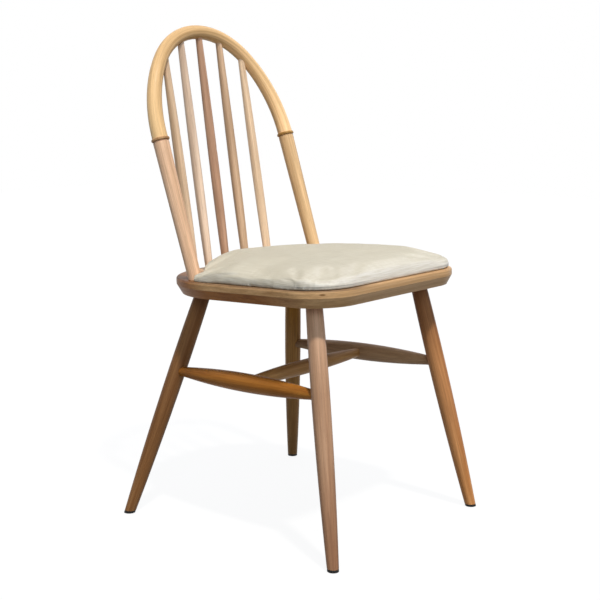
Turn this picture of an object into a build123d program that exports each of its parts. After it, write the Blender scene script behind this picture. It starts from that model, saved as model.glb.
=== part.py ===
from build123d import *
from math import atan, atan2, cos, degrees, radians, sin, sqrt, tan
import os

# Wooden dining chair with a hooped spindle back and an upholstered seat pad.
# Millimetres. The chair faces -Y, the sitter's left is +X, and the origin is on
# the floor below the middle of the chair.

# Seat board. Its top slopes down to the back; x and y on it are measured along the slope.
SEAT_HEIGHT = 443.0
SEAT_TILT = 2.6
SEAT_THICKNESS = 29.0
SEAT_FRONT = 235.0
SEAT_BACK = 214.0
SEAT_FRONT_HALF_WIDTH = 205.0
SEAT_BACK_HALF_WIDTH = 200.0
SEAT_FRONT_CORNER = 79.0
SEAT_BACK_CORNER = 180.0
SEAT_EDGE_HEIGHT = 12.0
SEAT_BEVEL_INSET = 9.5
SEAT_EDGE_ROUND = 4.0

# Legs, placed by their feet on the floor and by where they enter the seat's underside
FRONT_FOOT_X = 206.0
FRONT_FOOT_Y = 250.5
BACK_FOOT_X = 231.0
BACK_FOOT_Y = 210.5
FRONT_LEG_X = 148.4
FRONT_LEG_Y = 160.6
BACK_LEG_X = 123.9
BACK_LEG_Y = 118.3
LEG_FOOT_DIA = 19.5
LEG_BELLY_DIA = 31.5
LEG_BELLY_HEIGHT = 285.0
LEG_SEAT_DIA = 28.5
LEG_SOCKET_DEPTH = 20.0

# Plastic glides that plug into the feet
GLIDE_HEIGHT = 4.5
GLIDE_STEM_DIA = 8.0
GLIDE_STEM_LENGTH = 14.0

# Stretchers: one each side from leg to leg, and one across between them
STRETCHER_FRONT_HEIGHT = 275.0
STRETCHER_BACK_HEIGHT = 264.5
STRETCHER_END_DIA = 18.0
STRETCHER_BELLY_DIA = 33.0
CROSS_END_DIA = 17.0
CROSS_BELLY_DIA = 27.0

# Back: two leaning posts with a collar on each, and a bent hoop on them that leans a little more
POST_Y = 93.0
POST_LEAN = 18.7
POST_LENGTH = 253.0
POST_BASE_DIA = 24.0
POST_TOP_DIA = 29.0
POST_TENON_DIA = 16.0
POST_TENON_LENGTH = 16.0
GROOVE_WIDTH = 2.0
GROOVE_DEPTH = 1.6
COLLAR_DIA = 33.0
COLLAR_HEIGHT = 5.0
COLLAR_ROUND = 1.8
DOWEL_DIA = 12.0
DOWEL_DEPTH = 28.0
HOOP_LEAN = 20.2
HOOP_HALF_WIDTH = 168.6
HOOP_RISE = 203.0
HOOP_TOP_RADIUS = 149.0
HOOP_DIA = 25.5
HOOP_END_DIA = 28.5

# Five spindles, their feet on an arc across the seat and their tops in the hoop
SPINDLE_COUNT = 5
SPINDLE_BACK_Y = 178.0
SPINDLE_ARC_RADIUS = 306.0
SPINDLE_SPACING = 50.7
SPINDLE_BASE_DIA = 14.5
SPINDLE_BELLY_DIA = 18.0
SPINDLE_BELLY_HEIGHT = 150.0
SPINDLE_TOP_DIA = 12.5
SPINDLE_SOCKET_DEPTH = 18.0

# Seat pad: a board, foam over it, and a fabric cover turned in under the board
PAD_INSET = 11.0
PAD_CROWN = 41.5
PAD_CROWN_RADIUS = 1400.0
PAD_CROWN_Y = -20.0
PAD_RIM_ROUND = 17.0
PAD_HEM_ROUND = 3.0
PAD_POST_CLEARANCE = 1.0
PAD_SPINDLE_CLEARANCE = 4.0
PAD_SHOULDER = 8.0
PAD_SHOULDER_SLOPE = 12.0
PAD_NOTCH_ROUND = 25.0
PAD_BACK_HALF_WIDTH = 90.0
PAD_SIDE_CORNER = 30.0
PAD_BACK_CORNER = 45.0
PAD_BOARD_THICKNESS = 8.0
COVER_THICKNESS = 1.5
COVER_TURN_IN = 26.0

# Screws that hold the pad down, driven from under the seat
SCREW_X = 85.0
SCREW_FRONT_Y = 105.0
SCREW_BACK_Y = 65.0
SCREW_DIA = 4.5
SCREW_HEAD_DIA = 9.0
SCREW_HEAD_HEIGHT = 3.0
SCREW_RECESS = 10.0
SCREW_TIP_COVER = 2.0

# Clearances: the glue line round a joint, air at the end of a blind hole, the straight
# neck left outside a hole, and the room round a soft piece
GLUE = 0.1
END_ROOM = 1.0
NECK = 2.0
SOFT = 0.3

UP = Vector(0, 0, 1)
SIDES = {"left": 1, "right": -1}
FROM_BOTTOM = (Align.CENTER, Align.CENTER, Align.MIN)

seat_top = Plane(
    origin=(0, 0, SEAT_HEIGHT),
    x_dir=(1, 0, 0),
    z_dir=(0, sin(radians(SEAT_TILT)), cos(radians(SEAT_TILT))),
)
seat_under = seat_top.offset(-SEAT_THICKNESS)


def on(plane, x, y, height=0.0):
    """The point at x, y and a height above a plane."""
    return plane.from_local_coords(Vector(x, y, height))


def step(start, end, distance):
    """The point at a distance from start on the line to end."""
    return start + (end - start).normalized() * distance


def at_height(start, end, height):
    """The point of the line through start and end at a height above the floor."""
    return start + (end - start) * ((height - start.Z) / (end.Z - start.Z))


def slant(first, second):
    """The sharp angle between two directions, in radians."""
    angle = first.get_angle(second)
    return radians(min(angle, 180 - angle))


def neck_length(host_dia, rail_dia, angle):
    """How far from a round host's axis a rail stays straight, to slide into its hole."""
    return host_dia / 2 / sin(angle) + rail_dia / 2 / tan(angle) + NECK


def bore(start, end, dia):
    """Cut a round hole from start to end in the part being built."""
    with Locations(Plane(origin=start, z_dir=end - start)):
        Cylinder(dia / 2, (end - start).length, align=FROM_BOTTOM, mode=Mode.SUBTRACT)


def turned_rail(start, end, start_neck, start_dia, belly_at, belly_dia, end_neck, end_dia):
    """A turned round rail with straight necks at its ends and a swelling between them."""
    length = (end - start).length
    along = (end - start).normalized()
    belly = (belly_at, belly_dia / 2)
    start_shoulder = (start_neck, start_dia / 2)
    end_shoulder = (length - end_neck, end_dia / 2)
    with BuildPart() as rail:
        with BuildSketch(Plane(origin=start, x_dir=along, z_dir=along.cross(UP))):
            with BuildLine():
                Bezier(start_shoulder, ((start_neck + belly_at) / 2, belly_dia / 2), belly)
                Bezier(belly, ((length - end_neck + belly_at) / 2, belly_dia / 2), end_shoulder)
                Polyline(
                    end_shoulder,
                    (length, end_dia / 2),
                    (length, 0),
                    (0, 0),
                    (0, start_dia / 2),
                    start_shoulder,
                )
            make_face()
        revolve(axis=Axis(start, along))
    return rail.part


def leaning(origin, lean):
    """The plane through a point that leans back from upright and faces the front."""
    return Plane(origin, x_dir=(1, 0, 0), z_dir=(0, -cos(radians(lean)), sin(radians(lean))))


def hand_in(builder, name):
    """Label a finished piece and write its file."""
    builder.part.label = name
    export_step(builder.part, f"parts/{name}.step")


os.makedirs("parts", exist_ok=True)

# Legs: the line of each from its foot to the end of its socket in the seat
leg_lines = {}
leg_entries = {}
for side, sign in SIDES.items():
    for end, foot, entry in (
        ("front", (FRONT_FOOT_X, -FRONT_FOOT_Y), (FRONT_LEG_X, -FRONT_LEG_Y)),
        ("back", (BACK_FOOT_X, BACK_FOOT_Y), (BACK_LEG_X, BACK_LEG_Y)),
    ):
        foot_point = Vector(sign * foot[0], foot[1], 0)
        entry_point = on(seat_under, sign * entry[0], entry[1])
        leg_entries[end, side] = entry_point
        leg_lines[end, side] = (
            foot_point,
            step(entry_point, foot_point, -LEG_SOCKET_DEPTH),
        )

# Stretchers: the axes run from leg axis to leg axis, and from side stretcher to side stretcher
stretcher_lines = {}
for side in SIDES:
    stretcher_lines[side] = (
        at_height(*leg_lines["front", side], STRETCHER_FRONT_HEIGHT),
        at_height(*leg_lines["back", side], STRETCHER_BACK_HEIGHT),
    )
cross_line = [(front + back) * 0.5 for front, back in stretcher_lines.values()]

# Posts and hoop: the hoop is an arch of three tangent arcs, drawn in its own plane
post_plane = leaning(on(seat_top, 0, POST_Y), POST_LEAN)
hoop_start = POST_LENGTH + COLLAR_HEIGHT + 2 * GLUE
hoop_plane = leaning(on(post_plane, 0, hoop_start), HOOP_LEAN)
hoop_top_centre = HOOP_RISE - HOOP_TOP_RADIUS
hoop_side_radius = (
    HOOP_HALF_WIDTH**2 + (HOOP_RISE - HOOP_TOP_RADIUS) ** 2 - HOOP_TOP_RADIUS**2
) / (2 * (HOOP_HALF_WIDTH - HOOP_TOP_RADIUS))
hoop_side_centre = hoop_side_radius - HOOP_HALF_WIDTH
hoop_side_turn = degrees(atan2(HOOP_RISE - HOOP_TOP_RADIUS, hoop_side_centre))

# Spindles: the line of each from the end of its seat socket to the hoop's axis
spindle_lines = {}
spindle_hoop_angles = {}
spindle_arc_centre = SPINDLE_BACK_Y - SPINDLE_ARC_RADIUS
for number in range(1, SPINDLE_COUNT + 1):
    x = ((SPINDLE_COUNT + 1) / 2 - number) * SPINDLE_SPACING
    rise = sqrt(HOOP_TOP_RADIUS**2 - x**2)
    base = on(seat_top, x, spindle_arc_centre + sqrt(SPINDLE_ARC_RADIUS**2 - x**2))
    top = on(hoop_plane, x, hoop_top_centre + rise)
    hoop_run = hoop_plane.x_dir * rise - hoop_plane.y_dir * x
    spindle_lines[number] = (step(base, top, -SPINDLE_SOCKET_DEPTH), top)
    spindle_hoop_angles[number] = slant(top - base, hoop_run)

post_lines = {}
for side, sign in SIDES.items():
    post_lines[side] = (
        on(post_plane, sign * HOOP_HALF_WIDTH, 0),
        on(post_plane, sign * HOOP_HALF_WIDTH, POST_LENGTH),
    )

# Pad screws, as places on the seat's top
screw_places = [
    (sign * SCREW_X, y) for sign in SIDES.values() for y in (-SCREW_FRONT_Y, SCREW_BACK_Y)
]
pad_floor = SOFT
pad_board_floor = pad_floor + COVER_THICKNESS + SOFT
pad_board_top = pad_board_floor + PAD_BOARD_THICKNESS
screw_seat = SCREW_RECESS - SEAT_THICKNESS
screw_tip = pad_board_top - SCREW_TIP_COVER


def seat_outline():
    """The seat's outline: a rounded front and a back that is almost a half circle."""
    with BuildSketch() as outline:
        Polygon(
            (SEAT_FRONT_HALF_WIDTH, -SEAT_FRONT),
            (SEAT_BACK_HALF_WIDTH, SEAT_BACK),
            (-SEAT_BACK_HALF_WIDTH, SEAT_BACK),
            (-SEAT_FRONT_HALF_WIDTH, -SEAT_FRONT),
            align=None,
        )
        fillet(outline.vertices().group_by(Axis.Y)[0], SEAT_FRONT_CORNER)
        fillet(outline.vertices().group_by(Axis.Y)[-1], SEAT_BACK_CORNER)
    return outline.sketch


# Seat board, with sockets for the legs, posts and spindles and holes for the pad's screws
with BuildPart() as seat_board:
    with BuildSketch(seat_top.offset(-SEAT_EDGE_HEIGHT)):
        add(seat_outline())
    extrude(amount=SEAT_EDGE_HEIGHT)
    fillet(faces().sort_by(Axis(seat_top.origin, seat_top.z_dir))[-1].edges(), SEAT_EDGE_ROUND)
    bevel_height = SEAT_THICKNESS - SEAT_EDGE_HEIGHT
    with BuildSketch(seat_top.offset(-SEAT_EDGE_HEIGHT)) as bevel:
        add(seat_outline())
    extrude(
        bevel.sketch,
        amount=bevel_height,
        dir=-seat_top.z_dir,
        taper=degrees(atan(SEAT_BEVEL_INSET / bevel_height)),
    )
    for key, entry in leg_entries.items():
        foot, socket_end = leg_lines[key]
        bore(step(entry, foot, LEG_SEAT_DIA), socket_end, LEG_SEAT_DIA + 2 * GLUE)
    for base, top in post_lines.values():
        socket_end = step(base, top, -POST_TENON_LENGTH - END_ROOM)
        bore(socket_end, step(base, top, POST_BASE_DIA), POST_TENON_DIA + 2 * GLUE)
    for socket_end, top in spindle_lines.values():
        mouth = step(socket_end, top, SPINDLE_SOCKET_DEPTH + SPINDLE_BASE_DIA)
        bore(socket_end, mouth, SPINDLE_BASE_DIA + 2 * GLUE)
    for x, y in screw_places:
        bore(on(seat_under, x, y), on(seat_top, x, y, screw_seat), SCREW_HEAD_DIA + END_ROOM)
        bore(on(seat_under, x, y), on(seat_top, x, y, 0), SCREW_DIA + 2 * GLUE)
hand_in(seat_board, "seat_board")

# Legs, turned with a belly at the stretchers, and the glides under them
for (end, side), (foot, socket_end) in leg_lines.items():
    entry = leg_entries[end, side]
    below_floor = step(foot, entry, -LEG_FOOT_DIA)
    belly = at_height(foot, entry, LEG_BELLY_HEIGHT)
    seat_slant = slant(entry - foot, seat_top.z_dir)
    stem_end = step(at_height(foot, entry, GLIDE_HEIGHT), entry, GLIDE_STEM_LENGTH)
    front_point, back_point = stretcher_lines[side]
    if end == "front":
        rail_point, far_point = front_point, back_point
    else:
        rail_point, far_point = back_point, front_point
    with BuildPart() as leg:
        add(
            turned_rail(
                below_floor,
                step(socket_end, foot, END_ROOM),
                LEG_FOOT_DIA,
                LEG_FOOT_DIA,
                (belly - below_floor).length,
                LEG_BELLY_DIA,
                LEG_SOCKET_DEPTH + LEG_SEAT_DIA / 2 * tan(seat_slant) + NECK,
                LEG_SEAT_DIA,
            )
        )
        split(bisect_by=Plane.XY.offset(GLIDE_HEIGHT), keep=Keep.TOP)
        bore(foot, step(stem_end, entry, END_ROOM), GLIDE_STEM_DIA + 2 * GLUE)
        bore(rail_point, step(rail_point, far_point, LEG_BELLY_DIA), STRETCHER_END_DIA + 2 * GLUE)
    hand_in(leg, f"leg_{end}_{side}")

    with BuildPart() as glide:
        with BuildSketch(Plane(origin=below_floor, z_dir=entry - foot)):
            Circle(LEG_FOOT_DIA / 2)
        extrude(amount=3 * LEG_FOOT_DIA)
        split(bisect_by=Plane.XY, keep=Keep.TOP)
        split(bisect_by=Plane.XY.offset(GLIDE_HEIGHT - GLUE), keep=Keep.BOTTOM)
        stem_start = at_height(foot, entry, GLIDE_HEIGHT / 2)
        with Locations(Plane(origin=stem_start, z_dir=entry - foot)):
            Cylinder(GLIDE_STEM_DIA / 2, (stem_end - stem_start).length, align=FROM_BOTTOM)
    hand_in(glide, f"glide_{end}_{side}")

# Side stretchers, each with a socket for the cross stretcher at its middle
for (side, (front_point, back_point)), middle, far_middle in zip(
    stretcher_lines.items(), cross_line, reversed(cross_line)
):
    rail_run = back_point - front_point
    front_foot, front_top = leg_lines["front", side]
    back_foot, back_top = leg_lines["back", side]
    front_neck = neck_length(LEG_BELLY_DIA, STRETCHER_END_DIA, slant(rail_run, front_top - front_foot))
    back_neck = neck_length(LEG_BELLY_DIA, STRETCHER_END_DIA, slant(rail_run, back_top - back_foot))
    with BuildPart() as side_stretcher:
        add(
            turned_rail(
                step(front_point, back_point, END_ROOM),
                step(back_point, front_point, END_ROOM),
                front_neck,
                STRETCHER_END_DIA,
                rail_run.length / 2 - END_ROOM,
                STRETCHER_BELLY_DIA,
                back_neck,
                STRETCHER_END_DIA,
            )
        )
        bore(middle, step(middle, far_middle, STRETCHER_BELLY_DIA), CROSS_END_DIA + 2 * GLUE)
    hand_in(side_stretcher, f"side_stretcher_{side}")

cross_run = cross_line[1] - cross_line[0]
cross_neck = neck_length(
    STRETCHER_BELLY_DIA,
    CROSS_END_DIA,
    slant(cross_run, stretcher_lines["left"][1] - stretcher_lines["left"][0]),
)
with BuildPart() as cross_stretcher:
    add(
        turned_rail(
            step(cross_line[0], cross_line[1], END_ROOM),
            step(cross_line[1], cross_line[0], END_ROOM),
            cross_neck,
            CROSS_END_DIA,
            cross_run.length / 2 - END_ROOM,
            CROSS_BELLY_DIA,
            cross_neck,
            CROSS_END_DIA,
        )
    )
hand_in(cross_stretcher, "cross_stretcher")

# Posts, cut to sit on the sloping seat, with the collars and dowels that join them to the hoop
dowel_end = hoop_start + DOWEL_DEPTH
for side, sign in SIDES.items():
    base, top = post_lines[side]
    along = top - base
    with BuildPart() as post:
        with BuildSketch(Plane(origin=base, x_dir=along, z_dir=along.cross(UP))):
            with BuildLine():
                Polyline(
                    (-POST_BASE_DIA, 0),
                    (-POST_BASE_DIA, POST_BASE_DIA / 2),
                    (0, POST_BASE_DIA / 2),
                    (POST_LENGTH - GROOVE_WIDTH, POST_TOP_DIA / 2),
                    (POST_LENGTH - GROOVE_WIDTH, POST_TOP_DIA / 2 - GROOVE_DEPTH),
                    (POST_LENGTH, POST_TOP_DIA / 2 - GROOVE_DEPTH),
                    (POST_LENGTH, 0),
                    close=True,
                )
            make_face()
        revolve(axis=Axis(base, along))
        split(bisect_by=seat_top.offset(GLUE), keep=Keep.TOP)
        tenon_end = step(base, top, -POST_TENON_LENGTH)
        with Locations(Plane(origin=tenon_end, z_dir=along)):
            Cylinder(
                POST_TENON_DIA / 2,
                POST_TENON_LENGTH + POST_BASE_DIA,
                align=FROM_BOTTOM,
            )
        bore(step(top, base, DOWEL_DEPTH), step(top, base, -END_ROOM), DOWEL_DIA + 2 * GLUE)
    hand_in(post, f"post_{side}")

    with BuildPart() as collar:
        with BuildSketch(Plane(origin=step(top, base, -GLUE), z_dir=along)):
            Circle(COLLAR_DIA / 2)
            Circle(DOWEL_DIA / 2 + GLUE, mode=Mode.SUBTRACT)
        extrude(amount=COLLAR_HEIGHT)
        fillet(edges().filter_by(GeomType.CIRCLE).group_by(SortBy.RADIUS)[-1], COLLAR_ROUND)
    hand_in(collar, f"collar_{side}")

    with BuildPart() as dowel:
        dowel_start = step(top, base, DOWEL_DEPTH - END_ROOM)
        dowel_length = hoop_start - POST_LENGTH + 2 * (DOWEL_DEPTH - END_ROOM)
        with Locations(Plane(origin=dowel_start, z_dir=along)):
            Cylinder(DOWEL_DIA / 2, dowel_length, align=FROM_BOTTOM)
    hand_in(dowel, f"hoop_dowel_{side}")

# Hoop, thicker at its ends, cut square to the posts, with sockets for the spindles and dowels
with BuildPart() as back_hoop:
    for sign in SIDES.values():
        with BuildLine(hoop_plane) as side_run:
            CenterArc(
                (-sign * hoop_side_centre, 0),
                hoop_side_radius,
                0 if sign > 0 else 180,
                sign * hoop_side_turn,
            )
        with BuildSketch(Plane(origin=side_run.line @ 0, z_dir=side_run.line % 0)) as end_section:
            Circle(HOOP_END_DIA / 2)
        with BuildSketch(Plane(origin=side_run.line @ 1, z_dir=side_run.line % 1)) as top_section:
            Circle(HOOP_DIA / 2)
        sweep([end_section.sketch, top_section.sketch], side_run.line, multisection=True)
        extrude(end_section.sketch, amount=-COLLAR_HEIGHT)
    with BuildLine(hoop_plane) as top_run:
        CenterArc(
            (0, hoop_top_centre),
            HOOP_TOP_RADIUS,
            hoop_side_turn,
            180 - 2 * hoop_side_turn,
        )
    with BuildSketch(Plane(origin=top_run.line @ 0, z_dir=top_run.line % 0)) as section:
        Circle(HOOP_DIA / 2)
    sweep(section.sketch, top_run.line)
    split(bisect_by=Plane(hoop_plane.origin, z_dir=post_plane.y_dir), keep=Keep.TOP)
    for socket_end, top in spindle_lines.values():
        bore(top, step(top, socket_end, 2 * HOOP_DIA), SPINDLE_TOP_DIA + 2 * GLUE)
    for sign in SIDES.values():
        bore(
            on(post_plane, sign * HOOP_HALF_WIDTH, hoop_start - END_ROOM),
            on(post_plane, sign * HOOP_HALF_WIDTH, dowel_end),
            DOWEL_DIA + 2 * GLUE,
        )
hand_in(back_hoop, "back_hoop")

# Spindles, straight where they enter the seat and the hoop, with a low belly
for number, (socket_end, top) in spindle_lines.items():
    seat_slant = slant(top - socket_end, seat_top.z_dir)
    with BuildPart() as spindle:
        add(
            turned_rail(
                step(socket_end, top, END_ROOM),
                step(top, socket_end, END_ROOM),
                SPINDLE_SOCKET_DEPTH + SPINDLE_BASE_DIA / 2 * tan(seat_slant) + NECK,
                SPINDLE_BASE_DIA,
                SPINDLE_SOCKET_DEPTH + SPINDLE_BELLY_HEIGHT,
                SPINDLE_BELLY_DIA,
                neck_length(HOOP_DIA, SPINDLE_TOP_DIA, spindle_hoop_angles[number]),
                SPINDLE_TOP_DIA,
            )
        )
    hand_in(spindle, f"spindle_{number}")


def pad_outline(inset, rounded=True):
    """The pad's outline drawn in from its own edge: the seat's front and sides, shoulders
    in front of the posts, and an arc in front of the spindles."""
    slope = radians(PAD_SHOULDER_SLOPE)
    past_post = POST_BASE_DIA / 2 + PAD_POST_CLEARANCE - PAD_INSET
    beside_x = HOOP_HALF_WIDTH - past_post * sin(slope)
    beside_y = POST_Y - past_post * cos(slope)
    outer_x = 2 * HOOP_HALF_WIDTH
    outer_y = beside_y - (outer_x - beside_x) * tan(slope)
    notch_x = beside_x - PAD_SHOULDER * cos(slope)
    notch_y = beside_y + PAD_SHOULDER * sin(slope)
    past_spindle = SPINDLE_BELLY_DIA / 2 + PAD_SPINDLE_CLEARANCE - PAD_INSET
    back_radius = SPINDLE_ARC_RADIUS - past_spindle
    back_x = PAD_BACK_HALF_WIDTH + PAD_INSET
    back_y = spindle_arc_centre + sqrt(back_radius**2 - back_x**2)
    with BuildSketch() as outline:
        with BuildLine():
            ThreePointArc(
                (back_x, back_y),
                (0, spindle_arc_centre + back_radius),
                (-back_x, back_y),
            )
            Polyline(
                (-back_x, back_y),
                (-notch_x, notch_y),
                (-outer_x, outer_y),
                (-outer_x, -2 * SEAT_FRONT),
                (outer_x, -2 * SEAT_FRONT),
                (outer_x, outer_y),
                (notch_x, notch_y),
                (back_x, back_y),
            )
        make_face()
        offset(amount=-PAD_INSET - inset, kind=Kind.INTERSECTION)
        offset(seat_outline(), amount=-PAD_INSET - inset, mode=Mode.INTERSECT)
        if rounded:
            corners = outline.vertices().sort_by(Axis.Y)
            fillet(corners[-2:], PAD_BACK_CORNER - inset)
            fillet(corners[-4:-2], PAD_NOTCH_ROUND + inset)
            fillet(corners[-6:-4], PAD_SIDE_CORNER - inset)
    return outline.sketch


def pad_form(inset, floor):
    """The crowned pad drawn in all round by an inset, standing on a floor above the seat."""
    upward = Axis(seat_top.origin, seat_top.z_dir)
    with BuildPart() as form:
        with BuildSketch(seat_top.offset(floor)):
            add(pad_outline(inset))
        extrude(amount=PAD_CROWN)
        with Locations(on(seat_top, 0, PAD_CROWN_Y, PAD_CROWN - PAD_CROWN_RADIUS)):
            Sphere(PAD_CROWN_RADIUS - inset, mode=Mode.INTERSECT)
        fillet(faces().sort_by(upward)[-1].edges(), PAD_RIM_ROUND - inset)
    return form.part


# Pad cover: fabric all over the pad, turned in under its board
with BuildPart() as pad_cover:
    add(pad_form(0, pad_floor))
    hem = faces().sort_by(Axis(seat_top.origin, seat_top.z_dir))[0].edges()
    fillet(hem, PAD_HEM_ROUND)
    add(pad_form(COVER_THICKNESS, pad_floor + COVER_THICKNESS), mode=Mode.SUBTRACT)
    with BuildSketch(seat_top):
        add(pad_outline(COVER_TURN_IN, rounded=False))
    extrude(amount=PAD_BOARD_THICKNESS, mode=Mode.SUBTRACT)
hand_in(pad_cover, "pad_cover")

# Pad board and foam, which fill the cover
with BuildPart() as pad_board:
    add(pad_form(COVER_THICKNESS + SOFT, pad_board_floor))
    split(bisect_by=seat_top.offset(pad_board_top), keep=Keep.BOTTOM)
    for x, y in screw_places:
        bore(on(seat_top, x, y), on(seat_top, x, y, screw_tip + END_ROOM), SCREW_DIA + 2 * GLUE)
hand_in(pad_board, "pad_board")

with BuildPart() as pad_foam:
    add(pad_form(COVER_THICKNESS + SOFT, pad_board_floor))
    split(bisect_by=seat_top.offset(pad_board_top + SOFT), keep=Keep.TOP)
hand_in(pad_foam, "pad_foam")

# Screws up through the seat into the pad's board
for number, (x, y) in enumerate(screw_places, start=1):
    with BuildPart() as screw:
        with BuildSketch(seat_top.offset(screw_seat - GLUE - SCREW_HEAD_HEIGHT)):
            with Locations((x, y)):
                Circle(SCREW_HEAD_DIA / 2)
        extrude(amount=SCREW_HEAD_HEIGHT)
        with BuildSketch(seat_top.offset(screw_seat - GLUE)):
            with Locations((x, y)):
                Circle(SCREW_DIA / 2)
        extrude(amount=screw_tip - screw_seat)
    hand_in(screw, f"pad_screw_{number}")
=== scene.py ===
from math import cos, pi, radians, sin
import bpy
import numpy as np
from mathutils import Matrix, Vector


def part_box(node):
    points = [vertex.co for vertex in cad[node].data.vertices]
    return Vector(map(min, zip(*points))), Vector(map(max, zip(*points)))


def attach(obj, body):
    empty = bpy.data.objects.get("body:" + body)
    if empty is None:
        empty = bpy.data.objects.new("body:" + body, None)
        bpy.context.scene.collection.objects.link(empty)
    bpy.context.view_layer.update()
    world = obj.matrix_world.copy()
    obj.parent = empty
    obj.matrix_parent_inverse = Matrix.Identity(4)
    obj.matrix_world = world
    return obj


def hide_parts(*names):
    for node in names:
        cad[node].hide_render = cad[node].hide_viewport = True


# A wooden dining chair with a hooped spindle back and a fabric seat pad, on a pale floor.
# Metres, in the chair's own frame: it faces -Y, +X is the sitter's left, the floor is z = 0.

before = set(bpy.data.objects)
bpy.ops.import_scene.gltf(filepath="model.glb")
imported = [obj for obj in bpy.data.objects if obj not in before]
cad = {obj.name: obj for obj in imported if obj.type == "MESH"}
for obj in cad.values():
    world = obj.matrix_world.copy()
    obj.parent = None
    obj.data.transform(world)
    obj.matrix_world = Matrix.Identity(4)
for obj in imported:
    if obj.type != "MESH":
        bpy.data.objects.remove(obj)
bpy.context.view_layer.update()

# The seat's slope and the bent hoop's lines, as the chair is built
SEAT_HEIGHT = 0.443
SEAT_TILT = radians(2.6)
HOOP_FOOT = Vector((0.0, 0.1757, 0.6834))
HOOP_LEAN = radians(20.2)
HOOP_HALF_WIDTH = 0.1686
HOOP_RISE = 0.203
HOOP_TOP_RADIUS = 0.149

# Camera, as the photograph was taken
CAMERA_PLACE = Vector((-1.670324, -1.419666, 0.777268))
CAMERA_TURN = radians(-49.75508)
CAMERA_PITCH = radians(90 - 10.017364)
CAMERA_LENS = 73.2546
CAMERA_SENSOR = 36.0


def srgb(red, green, blue):
    """A colour given in 0 to 255 screen values, as a linear colour with full alpha."""
    linear = []
    for value in (red, green, blue):
        share = value / 255
        linear.append(share / 12.92 if share <= 0.04045 else ((share + 0.055) / 1.055) ** 2.4)
    return (*linear, 1.0)


# Node helpers


def add_node(tree, kind, **settings):
    """A new shader node with its settings, and values for its named or numbered inputs."""
    made = tree.nodes.new(kind)
    inputs = settings.pop("inputs", {})
    for key, value in settings.items():
        setattr(made, key, value)
    for key, value in inputs.items():
        made.inputs[key].default_value = value
    return made


def maths(tree, operation, first, second=None, third=None):
    """A math node on sockets or numbers, and its result."""
    made = add_node(tree, "ShaderNodeMath", operation=operation)
    for socket, value in zip(made.inputs, (first, second, third)):
        if value is None:
            continue
        if isinstance(value, (int, float)):
            socket.default_value = value
        else:
            tree.links.new(value, socket)
    return made.outputs[0]


def mix_colours(tree, factor, first, second, blend="MIX"):
    """Two colours, sockets or fixed, mixed by a factor."""
    made = add_node(tree, "ShaderNodeMix", data_type="RGBA", blend_type=blend)
    for socket, value in ((made.inputs[0], factor), (made.inputs[6], first), (made.inputs[7], second)):
        if isinstance(value, bpy.types.NodeSocket):
            tree.links.new(value, socket)
        else:
            socket.default_value = value
    return made.outputs[2]


def noise(tree, vector, scale, detail=2.0, roughness=0.5):
    """Noise on a vector stretched by a scale along each of its axes."""
    stretch = add_node(tree, "ShaderNodeVectorMath", operation="MULTIPLY")
    tree.links.new(vector, stretch.inputs[0])
    stretch.inputs[1].default_value = scale
    made = add_node(
        tree,
        "ShaderNodeTexNoise",
        inputs={"Scale": 1.0, "Detail": detail, "Roughness": roughness},
    )
    tree.links.new(stretch.outputs[0], made.inputs["Vector"])
    return made.outputs["Fac"]


def span(tree, value, low, high, to_low=0.0, to_high=1.0):
    """A value's stretch from low to high, spread over another stretch and held at its ends."""
    made = add_node(
        tree,
        "ShaderNodeMapRange",
        inputs={"From Min": low, "From Max": high, "To Min": to_low, "To Max": to_high},
    )
    tree.links.new(value, made.inputs["Value"])
    return made.outputs["Result"]


def bump(tree, height, strength, distance):
    """A bump from a height."""
    made = add_node(tree, "ShaderNodeBump", inputs={"Strength": strength, "Distance": distance})
    tree.links.new(height, made.inputs["Height"])
    return made.outputs["Normal"]


def new_material(name):
    """An empty principled material, its node tree and its shader."""
    made = bpy.data.materials.new(name)
    made.use_nodes = True
    tree = made.node_tree
    return made, tree, tree.nodes["Principled BSDF"]


def piece_place(tree):
    """Where a point of a piece is, in the chair's own frame."""
    return add_node(tree, "ShaderNodeTexCoord").outputs["Object"]


def parts_of(tree, vector):
    """The three parts of a vector."""
    made = add_node(tree, "ShaderNodeSeparateXYZ")
    tree.links.new(vector, made.inputs[0])
    return made.outputs


def mapped(tree, inputs, vector_type="POINT"):
    """The chair's own frame shifted, turned and scaled."""
    made = add_node(tree, "ShaderNodeMapping", vector_type=vector_type, inputs=inputs)
    tree.links.new(piece_place(tree), made.inputs["Vector"])
    return made.outputs["Vector"]


def seat_place(tree):
    """The ways across and along the seat's sloping top, and the height above it."""
    shift = (0, sin(SEAT_TILT) * SEAT_HEIGHT, -cos(SEAT_TILT) * SEAT_HEIGHT)
    return parts_of(tree, mapped(tree, {"Rotation": (SEAT_TILT, 0, 0), "Location": shift}))


# Wood: how often each kind of mark repeats in a metre, both ways across the grain and along it
BROAD_TONE = (38, 38, 1.6)
GROWTH_LINES = (150, 110, 3.2)
FINE_STREAKS = (620, 620, 14)
SHORT_FLECKS = (1500, 1500, 130)
WOOD_SPECULAR = 0.12


def straight_grain(tree, axis, shift):
    """Object coordinates turned so that a piece's own length lies along Z."""
    turn = axis.normalized().rotation_difference(Vector((0, 0, 1))).to_euler()
    return mapped(tree, {"Rotation": turn, "Location": shift})


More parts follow.
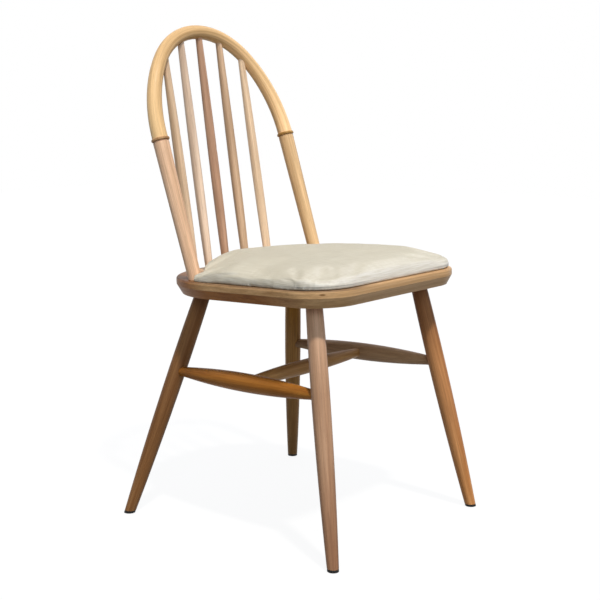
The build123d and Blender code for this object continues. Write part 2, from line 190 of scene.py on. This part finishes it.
def bent_grain(tree):
    """Coordinates that follow the hoop: outwards and across its section, then along its arcs."""
    side_radius = (HOOP_HALF_WIDTH**2 + (HOOP_RISE - HOOP_TOP_RADIUS) ** 2 - HOOP_TOP_RADIUS**2) / (
        2 * (HOOP_HALF_WIDTH - HOOP_TOP_RADIUS)
    )
    side_centre = side_radius - HOOP_HALF_WIDTH
    top_centre = HOOP_RISE - HOOP_TOP_RADIUS
    side_turn = float(np.arctan2(top_centre, side_centre))
    upright = mapped(tree, {"Location": HOOP_FOOT, "Rotation": (-HOOP_LEAN, 0, 0)}, "TEXTURE")
    across, depth, height = parts_of(tree, upright)
    beside = maths(tree, "ABSOLUTE", across)

    def polar(out, up, radius):
        angle = maths(tree, "ARCTAN2", up, out)
        squares = maths(tree, "ADD", maths(tree, "MULTIPLY", out, out), maths(tree, "MULTIPLY", up, up))
        return angle, maths(tree, "SUBTRACT", maths(tree, "SQRT", squares), radius)

    side_angle, side_out = polar(maths(tree, "ADD", beside, side_centre), height, side_radius)
    top_angle, top_out = polar(beside, maths(tree, "SUBTRACT", height, top_centre), HOOP_TOP_RADIUS)
    on_side = maths(tree, "LESS_THAN", side_angle, side_turn)
    side_left = maths(tree, "MULTIPLY", maths(tree, "SUBTRACT", side_turn, side_angle), side_radius)
    side_run = maths(tree, "ADD", side_left, (pi / 2 - side_turn) * HOOP_TOP_RADIUS)
    top_run = maths(tree, "MULTIPLY", maths(tree, "SUBTRACT", pi / 2, top_angle), HOOP_TOP_RADIUS)

    def choose(on_the_side, on_the_top):
        part = maths(tree, "MULTIPLY", on_side, maths(tree, "SUBTRACT", on_the_side, on_the_top))
        return maths(tree, "ADD", on_the_top, part)

    run = maths(tree, "MULTIPLY", choose(side_run, top_run), maths(tree, "SIGN", across))
    made = add_node(tree, "ShaderNodeCombineXYZ")
    tree.links.new(choose(side_out, top_out), made.inputs[0])
    tree.links.new(depth, made.inputs[1])
    tree.links.new(run, made.inputs[2])
    return made.outputs[0]


def deepened(tone, share):
    """A wood tone made darker, and warmer with it."""
    top = max(tone[:3])
    return tuple(value * share * (value / top) ** (1 - share) for value in tone[:3]) + (1.0,)


def knot_heart(tree, place, size):
    """A mask for a knot, with its place and its half sizes."""
    turn = (0, 0, radians(-45))
    around = mapped(tree, {"Location": place, "Rotation": turn, "Scale": size}, "TEXTURE")
    far = add_node(tree, "ShaderNodeVectorMath", operation="LENGTH")
    tree.links.new(around, far.inputs[0])
    return span(tree, far.outputs["Value"], 1.0, 0.45, 0.0, 0.85)


def wood(name, grain, tone, spread, roughness=0.42, across=(1, 1), paler=None, patches=None, knots=()):
    """Satin wood: broad tone, growth lines and fine streaks along the grain, and short flecks."""
    made, tree, shader = new_material(name)
    vector = grain(tree)

    def marks(repeats, detail, rough=0.5):
        scale = (repeats[0] * across[0], repeats[1] * across[1], repeats[2])
        return noise(tree, vector, scale, detail, rough)

    broad = span(tree, marks(BROAD_TONE, 2.0), 0.32, 0.68)
    lines = span(tree, marks(GROWTH_LINES, 3.0, 0.55), 0.36, 0.66)
    streaks = marks(FINE_STREAKS, 3.0, 0.6)
    flecks = span(tree, marks(SHORT_FLECKS, 1.0), 0.63, 0.74)
    level = maths(tree, "MULTIPLY", maths(tree, "ADD", broad, lines), 0.5)
    # the hoop's paler outside and ends, in part painted shade
    if paler:
        level = maths(tree, "MULTIPLY", maths(tree, "ADD", level, paler(tree, vector)), 0.5)
    light = tuple(value * (1 + spread) for value in tone[:3]) + (1.0,)
    colour = mix_colours(tree, level, deepened(tone, 1 - spread), light)
    streak_shade = span(tree, streaks, 0.3, 0.7, 0.82, 1.12)
    shade = add_node(tree, "ShaderNodeCombineColor")
    for socket in shade.inputs:
        tree.links.new(streak_shade, socket)
    colour = mix_colours(tree, 1.0, colour, shade.outputs[0], "MULTIPLY")
    colour = mix_colours(tree, maths(tree, "MULTIPLY", flecks, 0.35), colour, deepened(tone, 0.55))
    # painted light and shade, where a piece has it
    for mask, tint in patches(tree) if patches else ():
        tinted = mix_colours(tree, 1.0, colour, tint, "MULTIPLY")
        colour = mix_colours(tree, mask, colour, tinted)
    for place, size in knots:
        colour = mix_colours(tree, knot_heart(tree, place, size), colour, deepened(tone, 0.35))
    tree.links.new(colour, shader.inputs["Base Color"])
    gloss = span(tree, streaks, 0.3, 0.7, roughness + 0.07, roughness - 0.05)
    tree.links.new(gloss, shader.inputs["Roughness"])
    shader.inputs["Specular IOR Level"].default_value = WOOD_SPECULAR
    height = maths(tree, "SUBTRACT", maths(tree, "MULTIPLY", streaks, 0.5), flecks)
    tree.links.new(bump(tree, height, 0.22, 0.0002), shader.inputs["Normal"])
    return made


def length_axis(node):
    """The direction in which a long piece runs."""
    points = np.array([vertex.co for vertex in cad[node].data.vertices])
    values, vectors = np.linalg.eigh(np.cov(points.T))
    return Vector(vectors[:, np.argmax(values)])


def dress(node, material):
    """Give a piece of the chair its finish."""
    slots = cad[node].data.materials
    slots.clear()
    slots.append(material)


# The tone of each piece, in 0 to 255 screen values
wood_tones = {
    "back_hoop": (239, 201, 151),
    "post_left": (216, 180, 136),
    "post_right": (229, 190, 157),
    "collar_left": (185, 146, 90),
    "collar_right": (188, 148, 108),
    "spindle_1": (242, 212, 180),
    "spindle_2": (202, 170, 140),
    "spindle_3": (190, 152, 126),
    "spindle_4": (220, 194, 171),
    "spindle_5": (222, 193, 163),
    "seat_board": (194, 156, 113),
    "leg_front_left": (190, 135, 88),
    "leg_front_right": (178, 140, 111),
    "leg_back_left": (171, 128, 75),
    # this leg's tone is set darker than the others, partly as painted shade
    "leg_back_right": (131, 93, 58),
    "side_stretcher_left": (164, 131, 99),
    "side_stretcher_right": (159, 104, 42),
    "cross_stretcher": (168, 126, 78),
}


def board_grain(tree):
    """Coordinates of the seat board: its thickness, its depth, and the way across, along the grain."""
    made = add_node(tree, "ShaderNodeCombineXYZ")
    level = parts_of(tree, mapped(tree, {"Rotation": (SEAT_TILT, 0, 0)}))
    for socket, part in zip(made.inputs, reversed(level)):
        tree.links.new(part, socket)
    return made.outputs[0]


# Painted light and shade: tints that a piece's tone is multiplied by in parts of it
SEAT_TOP_PAINTED_SHADE = (0.45, 0.44, 0.46, 1.0)
SEAT_EDGE_PAINTED_SHADE = (0.64, 0.40, 0.17, 1.0)
HOOP_LEFT_PAINTED_LIGHT = (1.45, 1.50, 1.62, 1.0)
HOOP_RIGHT_PAINTED_SHADE = (0.90, 0.89, 0.86, 1.0)


def seat_painted_shade(tree):
    """Painted shade on the seat board at the sitter's right: it is darker on its top, lower edge and
    back end.
    """
    across, depth, height = seat_place(tree)
    right_side = span(tree, across, -0.06, -0.12)
    top = span(tree, height, -0.003, -0.001)
    bevel = span(tree, height, -0.0115, -0.0135)
    lower_edge = maths(tree, "MULTIPLY", bevel, span(tree, depth, -0.20, -0.08))
    edges = maths(tree, "MAXIMUM", lower_edge, span(tree, depth, 0.04, 0.09))
    return (
        # painted shade on the board's top, seen beside the pad
        (maths(tree, "MULTIPLY", top, right_side), SEAT_TOP_PAINTED_SHADE),
        # painted shade on the lower edge and the back end
        (maths(tree, "MULTIPLY", edges, right_side), SEAT_EDGE_PAINTED_SHADE),
    )


def hoop_tone_and_painted_shade(tree, vector):
    """The hoop is paler towards its outside and towards its ends: partly the wood's own tone, partly
    painted shade on its inner side and on its top arch.
    """
    outwards, _, run = parts_of(tree, vector)
    outside = span(tree, outwards, -0.011, 0.009, 0.235, 0.824)
    end = span(tree, maths(tree, "ABSOLUTE", run), 0.06, 0.27, 0.2, 1.2)
    return maths(tree, "MULTIPLY", outside, end)


def hoop_painted_light_and_shade(tree):
    """Painted light inside the hoop's left limb, at the front, and painted shade on its right limb."""
    outwards, depth, run = parts_of(tree, bent_grain(tree))
    front = span(tree, depth, 0.006, -0.005)
    inner_front = maths(tree, "MULTIPLY", front, span(tree, outwards, 0.0, -0.010))
    left_limb = maths(tree, "MULTIPLY", span(tree, run, 0.0, 0.1), inner_front)
    right_limb = span(tree, run, 0.06, -0.02)
    return ((left_limb, HOOP_LEFT_PAINTED_LIGHT), (right_limb, HOOP_RIGHT_PAINTED_SHADE))


# Painted light and shade on each leg: its tint at its foot, and below the seat
leg_painted_tints = {
    "leg_front_left": ((1.28, 1.33, 1.28, 1.0), (0.52, 0.50, 0.50, 1.0)),
    "leg_front_right": ((0.75, 0.67, 0.62, 1.0), (1.27, 1.34, 1.42, 1.0)),
    "leg_back_left": ((0.65, 0.65, 0.72, 1.0), (1.04, 0.96, 0.40, 1.0)),
    "leg_back_right": ((1.30, 1.38, 1.45, 1.0), (1.0, 1.0, 1.0, 1.0)),
}


def leg_painted_light_and_shade(node):
    """Painted light and shade on a leg, towards its foot and towards the seat."""
    foot_painted_tint, seat_painted_tint = leg_painted_tints[node]

    def patches(tree):
        height = parts_of(tree, piece_place(tree))[2]
        return ((span(tree, height, 0.18, 0.04), foot_painted_tint), (span(tree, height, 0.28, 0.36), seat_painted_tint))

    return patches


def turned_grain(node, shift):
    """The grain of a long piece, along its own length."""
    axis = length_axis(node)
    return lambda tree: straight_grain(tree, axis, shift)


for number, (node, tone) in enumerate(wood_tones.items()):
    name = f"{node}_wood"
    if node == "back_hoop":
        finish = wood(name, bent_grain, srgb(*tone), 0.46, 0.38, (1.5, 1.5), hoop_tone_and_painted_shade, hoop_painted_light_and_shade)
    elif node == "seat_board":
        knot = ((-0.1838, -0.2085, 0.4465), (0.0065, 0.003, 0.0024))
        finish = wood(
            name, board_grain, srgb(*tone), 0.3, across=(1.7, 0.25), patches=seat_painted_shade, knots=[knot]
        )
    else:
        whole = node.replace("collar", "post")
        grain = turned_grain(whole, Vector((0.37, 0.11, 0.73)) * number)
        patches = leg_painted_light_and_shade(node) if node in leg_painted_tints else None
        finish = wood(name, grain, srgb(*tone), 0.34, patches=patches)
    dress(node, finish)


def inner_grain(tree):
    """The grain of the pieces that don't show, across the chair."""
    return straight_grain(tree, Vector((1, 0, 0)), (0.1, 0.3, 0.2))


inner_wood = wood("inner_wood", inner_grain, srgb(200, 172, 130), 0.2, 0.6)
for node in ("hoop_dowel_left", "hoop_dowel_right", "pad_board"):
    dress(node, inner_wood)


# Plastic glides and steel screws


def glide_plastic():
    """Black moulded plastic with a fine matt grain."""
    made, tree, shader = new_material("glide_plastic")
    where = piece_place(tree)
    grain = noise(tree, where, (1800, 1800, 1800), 2.0)
    wear = span(tree, noise(tree, where, (160, 160, 160), 3.0), 0.4, 0.75)
    colour = mix_colours(tree, wear, srgb(12, 11, 10), srgb(30, 28, 26))
    tree.links.new(colour, shader.inputs["Base Color"])
    tree.links.new(span(tree, grain, 0.3, 0.7, 0.5, 0.68), shader.inputs["Roughness"])
    shader.inputs["Specular IOR Level"].default_value = 0.25
    tree.links.new(bump(tree, grain, 0.3, 0.0002), shader.inputs["Normal"])
    return made


def screw_steel():
    """Zinc-plated steel with a faint mottle."""
    made, tree, shader = new_material("screw_steel")
    mottle = span(tree, noise(tree, piece_place(tree), (700, 700, 700), 3.0), 0.35, 0.65)
    colour = mix_colours(tree, mottle, srgb(150, 148, 142), srgb(186, 184, 178))
    tree.links.new(colour, shader.inputs["Base Color"])
    tree.links.new(span(tree, mottle, 0.0, 1.0, 0.3, 0.42), shader.inputs["Roughness"])
    shader.inputs["Metallic"].default_value = 1.0
    return made


plastic = glide_plastic()
for end in ("front", "back"):
    for side in ("left", "right"):
        dress(f"glide_{end}_{side}", plastic)
steel = screw_steel()
for number in range(1, 5):
    dress(f"pad_screw_{number}", steel)


# Seat pad: the size of its mesh, the part that is held down, and how far and long it swells
PAD_VOXEL = 0.004
PAD_HELD_HEIGHT = 0.009
PAD_CAP = 0.005
PAD_FRAMES = 20
PAD_CREASE = 0.0009

# How far it stands out from the cover, and how much squarer its rim and its hem are drawn
PAD_PROUD = 0.003
PAD_RIM_GAIN = 0.007
PAD_HEM_DROP = 0.0016
PAD_HEM_GAIN = 0.003

# Where it is thinned or filled: sides, middle of the zone, reach, share of height lost, shift
BOTH_SIDES = (-1, 1)
SITTER_RIGHT = (-1,)
PAD_SHAPING = (
    (BOTH_SIDES, (0.186, 0.078), 0.05, 0.45, (0.0, 0.0)),
    (BOTH_SIDES, (0.092, 0.140), 0.05, 0.16, (-0.0055, -0.0094)),
    (BOTH_SIDES, (0.172, -0.165), 0.07, -0.14, (0.004, 0.0)),
    (SITTER_RIGHT, (0.200, -0.060), 0.08, 0.22, (0.0, 0.0)),
)

# Its fabric: threads, painted shade on top and where it slopes, painted light at the front, and the fold
# at the front corners with painted shade in it
THREAD_PITCH = 0.0011
PAD_TOP_PAINTED_SHADE = (0.85, 0.83, 0.77, 1.0)
PAD_SLOPE_PAINTED_SHADE = (0.98, 0.975, 0.97, 1.0)
PAD_FRONT_PAINTED_LIGHT = (1.2, 1.23, 1.37, 1.0)
PAD_FRONT_CORNER = (0.15, -0.19)
PAD_FOLD_HEIGHT = 0.0055


def corner_fold_and_shade(tree):
    """A mask for the fold in the cover, low down round the front corners: it shapes the fold and carries
    its painted shade.
    """
    across, depth, height = seat_place(tree)
    beside = maths(tree, "SUBTRACT", maths(tree, "ABSOLUTE", across), PAD_FRONT_CORNER[0])
    before = maths(tree, "SUBTRACT", depth, PAD_FRONT_CORNER[1])
    squares = maths(tree, "MULTIPLY_ADD", beside, beside, maths(tree, "MULTIPLY", before, before))
    by_corner = span(tree, maths(tree, "SQRT", squares), 0.1, 0.05)
    off_line = maths(tree, "ABSOLUTE", maths(tree, "SUBTRACT", height, PAD_FOLD_HEIGHT))
    return maths(tree, "MULTIPLY", span(tree, off_line, 0.0018, 0.0004), by_corner)


def pad_fabric():
    """Pale linen: a plain weave, uneven threads both ways and a soft sheen, with painted shade on its
    top, in the weave's hollows and in the fold at the front corners, and painted light where it turns
    down at the front.
    """
    made, tree, shader = new_material("pad_fabric")
    where = piece_place(tree)
    waves = [
        maths(tree, "SINE", maths(tree, "MULTIPLY", part, 2 * pi / THREAD_PITCH))
        for part in parts_of(tree, where)
    ]
    facing = parts_of(tree, add_node(tree, "ShaderNodeTexCoord").outputs["Normal"])
    steep = span(tree, maths(tree, "ABSOLUTE", facing[2]), 0.9, 0.6)

    def top_or_side(on_top, on_side):
        part = maths(tree, "MULTIPLY", steep, maths(tree, "SUBTRACT", on_side, on_top))
        return maths(tree, "ADD", on_top, part)

    weave = top_or_side(maths(tree, "MULTIPLY", waves[0], waves[1]), waves[2])
    warp = span(tree, noise(tree, where, (900, 26, 40), 2.0), 0.3, 0.7)
    weft = span(tree, noise(tree, where, (26, 900, 40), 2.0), 0.3, 0.7)
    rows = span(tree, noise(tree, where, (26, 26, 900), 2.0), 0.3, 0.7, 0.0, 2.0)
    slubs = top_or_side(maths(tree, "ADD", warp, weft), rows)
    cloud = span(tree, noise(tree, where, (7, 7, 7), 3.0), 0.3, 0.7)
    colour = mix_colours(tree, cloud, srgb(219, 212, 195), srgb(227, 220, 202))
    # painted shade on the top where it faces up, and painted light where it turns down to the front
    to_front = maths(tree, "MULTIPLY", facing[1], -1)
    turned_down = maths(tree, "MULTIPLY_ADD", facing[0], -0.5, to_front)
    tint = mix_colours(tree, span(tree, turned_down, 0.0, 0.3), PAD_TOP_PAINTED_SHADE, PAD_SLOPE_PAINTED_SHADE)
    tint = mix_colours(tree, span(tree, turned_down, 0.3, 0.9), tint, PAD_FRONT_PAINTED_LIGHT)
    colour = mix_colours(tree, 1.0, colour, tint, "MULTIPLY")
    threads = mix_colours(tree, span(tree, slubs, 0.3, 1.7), srgb(232, 228, 220), srgb(255, 255, 255))
    colour = mix_colours(tree, 1.0, colour, threads, "MULTIPLY")
    # painted shade in the weave's hollows
    hollow_shade = mix_colours(tree, span(tree, weave, -1.2, 0.6), srgb(225, 220, 210), srgb(255, 255, 255))
    colour = mix_colours(tree, 1.0, colour, hollow_shade, "MULTIPLY")
    fold = corner_fold_and_shade(tree)
    # painted shade in the fold
    colour = mix_colours(tree, maths(tree, "MULTIPLY", fold, 0.6), colour, srgb(150, 142, 132))
    tree.links.new(colour, shader.inputs["Base Color"])
    shader.inputs["Roughness"].default_value = 0.9
    shader.inputs["Sheen Weight"].default_value = 0.25
    shader.inputs["Sheen Roughness"].default_value = 0.5
    height = maths(tree, "ADD", weave, maths(tree, "MULTIPLY", slubs, 0.8))
    height = maths(tree, "MULTIPLY_ADD", fold, -4.0, height)
    tree.links.new(bump(tree, height, 0.35, 0.0004), shader.inputs["Normal"])
    return made


seat_plane = Matrix.Translation((0, 0, SEAT_HEIGHT)) @ Matrix.Rotation(-SEAT_TILT, 4, "X")


def only(piece):
    """Make one piece the active and only selected one."""
    bpy.ops.object.select_all(action="DESELECT")
    bpy.context.view_layer.objects.active = piece
    piece.select_set(True)


def copied(node, name):
    """A loose copy of a piece of the chair, with its faces joined up."""
    made = bpy.data.objects.new(name, cad[node].data.copy())
    bpy.context.scene.collection.objects.link(made)
    only(made)
    bpy.ops.object.mode_set(mode="EDIT")
    bpy.ops.mesh.select_all(action="SELECT")
    bpy.ops.mesh.remove_doubles(threshold=0.00001)
    bpy.ops.object.mode_set(mode="OBJECT")
    return made


def weighted(piece, name, weights):
    """A vertex group with a weight for each point."""
    made = piece.vertex_groups.new(name=name)
    for index, weight in enumerate(weights):
        if weight > 0:
            made.add([index], float(weight), "REPLACE")
    return made.name


def applied(piece, name, kind, **settings):
    """Add a modifier with its settings to a piece and apply it."""
    made = piece.modifiers.new(name, kind)
    for key, value in settings.items():
        setattr(made, key, value)
    only(piece)
    bpy.ops.object.modifier_apply(modifier=made.name)


def ramp(values, low, high):
    """Shares that rise from none at the low value to one at the high value."""
    return np.clip((values - low) / (high - low), 0, 1)


def cover_growth():
    """The stuffing spread out, about its middle, to a little more than the cover's width and depth."""
    low, high = (Vector(corner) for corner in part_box("pad_foam"))
    cover_low, cover_high = (Vector(corner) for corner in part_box("pad_cover"))
    middle = seat_plane.inverted() @ ((low + high) / 2)
    to_middle = Matrix.Translation((middle.x, middle.y, 0))
    wide = (cover_high.x - cover_low.x + 2 * PAD_PROUD) / (high.x - low.x)
    deep = (cover_high.y - cover_low.y + 2 * PAD_PROUD) / (high.y - low.y)
    grown = to_middle @ Matrix.Diagonal((wide, deep, 1, 1)) @ to_middle.inverted()
    return seat_plane @ grown @ seat_plane.inverted()


def in_seat_plane(piece):
    """A piece's points and normals, with heights above the seat's sloping top."""
    to_seat = np.array(seat_plane.inverted())
    points = np.array([vertex.co for vertex in piece.data.vertices])
    normals = np.array([vertex.normal for vertex in piece.data.vertices])
    return points @ to_seat[:3, :3].T + to_seat[:3, 3], normals @ to_seat[:3, :3].T


def seat_heights(piece):
    """How far each point of a piece is above the seat's sloping top."""
    return in_seat_plane(piece)[0][:, 2]


def put_back(piece, local):
    """Move a piece's points to places given in the seat's sloping plane."""
    from_seat = np.array(seat_plane)
    placed = local @ from_seat[:3, :3].T + from_seat[:3, 3]
    piece.data.vertices.foreach_set("co", placed.astype(np.float32).ravel())
    piece.data.update()


def outward_of(normals):
    """How level each normal lies, and its level direction."""
    level = np.hypot(normals[:, 0], normals[:, 1])
    return level, normals[:, :2] / np.maximum(level, 1e-6)[:, None]


def square_rim(pad):
    """Tighten the rounding of the pad's rim, so that its sides stand up more steeply."""
    local, normals = in_seat_plane(pad)
    level, outward = outward_of(normals)
    upward = np.clip(normals[:, 2], 0, 1)
    on_rim = (1 - ramp(upward, 0.90, 0.99)) * (normals[:, 2] > -0.2)
    gain = PAD_RIM_GAIN * on_rim * ramp(local[:, 2], 0.003, 0.009)
    local[:, :2] += outward * (gain * (1 - level))[:, None]
    local[:, 2] += gain * (1 - upward)
    put_back(pad, local)


def square_hem(pad):
    """Bring the pad's lower edge down to the seat and make it less round."""
    local, normals = in_seat_plane(pad)
    level, outward = outward_of(normals)
    on_edge = (normals[:, 2] < 0) * (level > 0.15)
    local[:, 2] -= PAD_HEM_DROP * (1 - ramp(local[:, 2], 0.002, 0.009))
    local[:, :2] += outward * (PAD_HEM_GAIN * on_edge * (1 - level))[:, None]
    put_back(pad, local)


def shape_edges(pad):
    """Thin the pad by the posts and at its right, tuck its back corners in and fill its front ones."""
    local = in_seat_plane(pad)[0]
    for sides, (beside, behind), reach, drop, shift in PAD_SHAPING:
        for side in sides:
            far = np.hypot(local[:, 0] - side * beside, local[:, 1] - behind)
            share = np.exp(-((far / reach) ** 2))
            local[:, 2] *= 1 - drop * share
            local[:, 0] += side * shift[0] * share
            local[:, 1] += shift[1] * share
    put_back(pad, local)


def swell(pad):
    """Let the cover swell like stuffed cloth, held where it is drawn down to the seat."""
    rest = np.array([vertex.co for vertex in pad.data.vertices])
    held = weighted(pad, "held_down", seat_heights(pad) < PAD_HELD_HEIGHT)
    cloth = pad.modifiers.new("stuffing", "CLOTH")
    cloth.settings.quality = 6
    cloth.settings.use_pressure = True
    cloth.settings.uniform_pressure_force = 4.0
    cloth.settings.tension_stiffness = 18.0
    cloth.settings.compression_stiffness = 18.0
    cloth.settings.bending_stiffness = 1.2
    cloth.settings.effector_weights.gravity = 0.0
    cloth.settings.vertex_group_mass = held
    cloth.collision_settings.use_collision = False
    for step in range(1, PAD_FRAMES + 1):
        bpy.context.scene.frame_set(step)
    only(pad)
    bpy.ops.object.modifier_apply(modifier=cloth.name)
    bpy.context.scene.frame_set(1)
    moved = np.array([vertex.co for vertex in pad.data.vertices]) - rest
    far = np.linalg.norm(moved, axis=1, keepdims=True)
    placed = rest + moved * np.minimum(1.0, PAD_CAP / np.maximum(far, 1e-9))
    pad.data.vertices.foreach_set("co", placed.astype(np.float32).ravel())
    pad.data.update()


def stuffed_pad():
    """The pad: foam and board under a fabric cover that swells between its edges."""
    pad = copied("pad_foam", "seat_pad")
    board = copied("pad_board", "pad_underside")
    bpy.ops.object.select_all(action="DESELECT")
    board.select_set(True)
    pad.select_set(True)
    bpy.context.view_layer.objects.active = pad
    bpy.ops.object.join()
    pad.data.transform(cover_growth())
    stuffing = bpy.data.objects.new("stuffing", pad.data.copy())
    bpy.context.scene.collection.objects.link(stuffing)
    applied(pad, "even_mesh", "REMESH", mode="VOXEL", voxel_size=PAD_VOXEL)
    applied(pad, "evened", "SMOOTH", iterations=6, factor=0.5)
    applied(pad, "drawn_over", "SHRINKWRAP", target=stuffing, wrap_method="NEAREST_SURFACEPOINT")
    bpy.data.objects.remove(stuffing)
    crown = weighted(pad, "crown", ramp(seat_heights(pad), 0.020, 0.028))
    applied(pad, "even_crown", "SMOOTH", iterations=40, factor=0.5, vertex_group=crown)
    square_rim(pad)
    shape_edges(pad)
    square_hem(pad)
    swell(pad)
    settled = weighted(pad, "settled", ramp(seat_heights(pad), 0.014, 0.024))
    applied(pad, "settled", "SMOOTH", iterations=8, factor=0.5, vertex_group=settled)
    creases = bpy.data.textures.new("soft_creases", "CLOUDS")
    creases.noise_scale = 0.045
    creases.noise_depth = 1
    upper = weighted(pad, "upper", ramp(seat_heights(pad), 0.002, 0.014))
    applied(
        pad,
        "soft_creases",
        "DISPLACE",
        texture=creases,
        texture_coords="LOCAL",
        strength=2 * PAD_CREASE,
        mid_level=0.5,
        vertex_group=upper,
    )
    pad.vertex_groups.clear()
    applied(pad, "rounder", "SUBSURF", levels=1, render_levels=1)
    bpy.ops.object.shade_smooth()
    return pad


seat_pad = stuffed_pad()
seat_pad.data.materials.clear()
seat_pad.data.materials.append(pad_fabric())
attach(seat_pad, "root")
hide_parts("pad_cover", "pad_foam", "pad_board")


# Floor, world, light and camera
FLOOR_SIZE = 12.0
FLOOR_DROP = 0.0005
FLOOR_GREY = (0.14, 0.14, 0.14, 1.0)
FLOOR_SEEN = (0.9, 0.9, 0.9, 1.0)
FLOOR_WHITE_SHARE = 0.92
WHITE = (1.0, 1.0, 1.0, 1.0)
SKY_TINT = (0.86, 0.97, 1.17, 1.0)

# Broad patches of light round the chair: degrees to its right, degrees up, strength
SOFT_LIGHTS = ((0, 90, 0.36), (-65, 25, 0.4), (-145, 25, 0.7))


def seen_rays(tree):
    """One for the rays that look at a surface, straight or in a reflection, and none for its light."""
    path = add_node(tree, "ShaderNodeLightPath")
    seen = maths(tree, "MAXIMUM", path.outputs["Is Camera Ray"], path.outputs["Is Glossy Ray"])
    return maths(tree, "MAXIMUM", seen, path.outputs["Is Transmission Ray"])


def pale_floor():
    """A floor that looks white with a faint shadow, and throws little light back up."""
    made, tree, shader = new_material("pale_floor")
    seen = seen_rays(tree)
    colour = mix_colours(tree, seen, FLOOR_GREY, FLOOR_SEEN)
    tree.links.new(colour, shader.inputs["Base Color"])
    shader.inputs["Roughness"].default_value = 0.9
    white = add_node(tree, "ShaderNodeEmission", inputs={"Color": WHITE, "Strength": 1.0})
    mixed = add_node(tree, "ShaderNodeMixShader")
    tree.links.new(maths(tree, "MULTIPLY", seen, FLOOR_WHITE_SHARE), mixed.inputs[0])
    tree.links.new(shader.outputs[0], mixed.inputs[1])
    tree.links.new(white.outputs[0], mixed.inputs[2])
    tree.links.new(mixed.outputs[0], tree.nodes["Material Output"].inputs["Surface"])
    return made


bpy.ops.object.select_all(action="DESELECT")
bpy.ops.mesh.primitive_plane_add(size=FLOOR_SIZE, location=(0, 0, -FLOOR_DROP))
floor = bpy.context.active_object
floor.name = "floor"
floor.data.materials.append(pale_floor())


def light_from(turn, height):
    """A direction that light comes from: degrees from the chair's front to its right, and degrees up."""
    turn, height = radians(turn), radians(height)
    return Vector((-sin(turn) * cos(height), -cos(turn) * cos(height), sin(height)))


world = bpy.data.worlds.new("studio")
bpy.context.scene.world = world
world.use_nodes = True
world_tree = world.node_tree
background = world_tree.nodes["Background"]
world_where = add_node(world_tree, "ShaderNodeTexCoord")


def soft_light(direction, strength):
    """A broad soft patch of light in the surroundings."""
    towards = add_node(world_tree, "ShaderNodeVectorMath", operation="DOT_PRODUCT")
    world_tree.links.new(world_where.outputs["Generated"], towards.inputs[0])
    towards.inputs[1].default_value = direction
    return span(world_tree, towards.outputs["Value"], 0.2, 1.0, 0.0, strength)


world_light = 0.0
for turn, height, strength in SOFT_LIGHTS:
    world_light = maths(world_tree, "ADD", world_light, soft_light(light_from(turn, height), strength))
world_seen = seen_rays(world_tree)
world_light = maths(world_tree, "MAXIMUM", world_seen, world_light)
world_tree.links.new(world_light, background.inputs["Strength"])
world_colour = mix_colours(world_tree, world_seen, SKY_TINT, WHITE)
world_tree.links.new(world_colour, background.inputs["Color"])


def studio_lamp(name, turn, height, energy, softness, colour):
    """A far lamp, with the softness of its shadows in degrees."""
    light = bpy.data.lights.new(name, "SUN")
    light.energy = energy
    light.color = colour
    light.angle = radians(softness)
    lamp = bpy.data.objects.new(name, light)
    bpy.context.scene.collection.objects.link(lamp)
    lamp.location = light_from(turn, height) * 3
    lamp.rotation_euler = light_from(turn, height).to_track_quat("Z", "Y").to_euler()


studio_lamp("key_light", 24, 65, 2.6, 4, (1.0, 0.95, 0.87))
studio_lamp("front_light", 42, 24, 1.0, 30, (0.8, 0.92, 1.0))

camera_data = bpy.data.cameras.new("camera")
camera_data.lens = CAMERA_LENS
camera_data.sensor_width = CAMERA_SENSOR
camera = bpy.data.objects.new("camera", camera_data)
bpy.context.scene.collection.objects.link(camera)
camera.location = CAMERA_PLACE
camera.rotation_euler = (CAMERA_PITCH, 0, CAMERA_TURN)
bpy.context.scene.camera = camera
bpy.context.scene.view_settings.view_transform = "Standard"
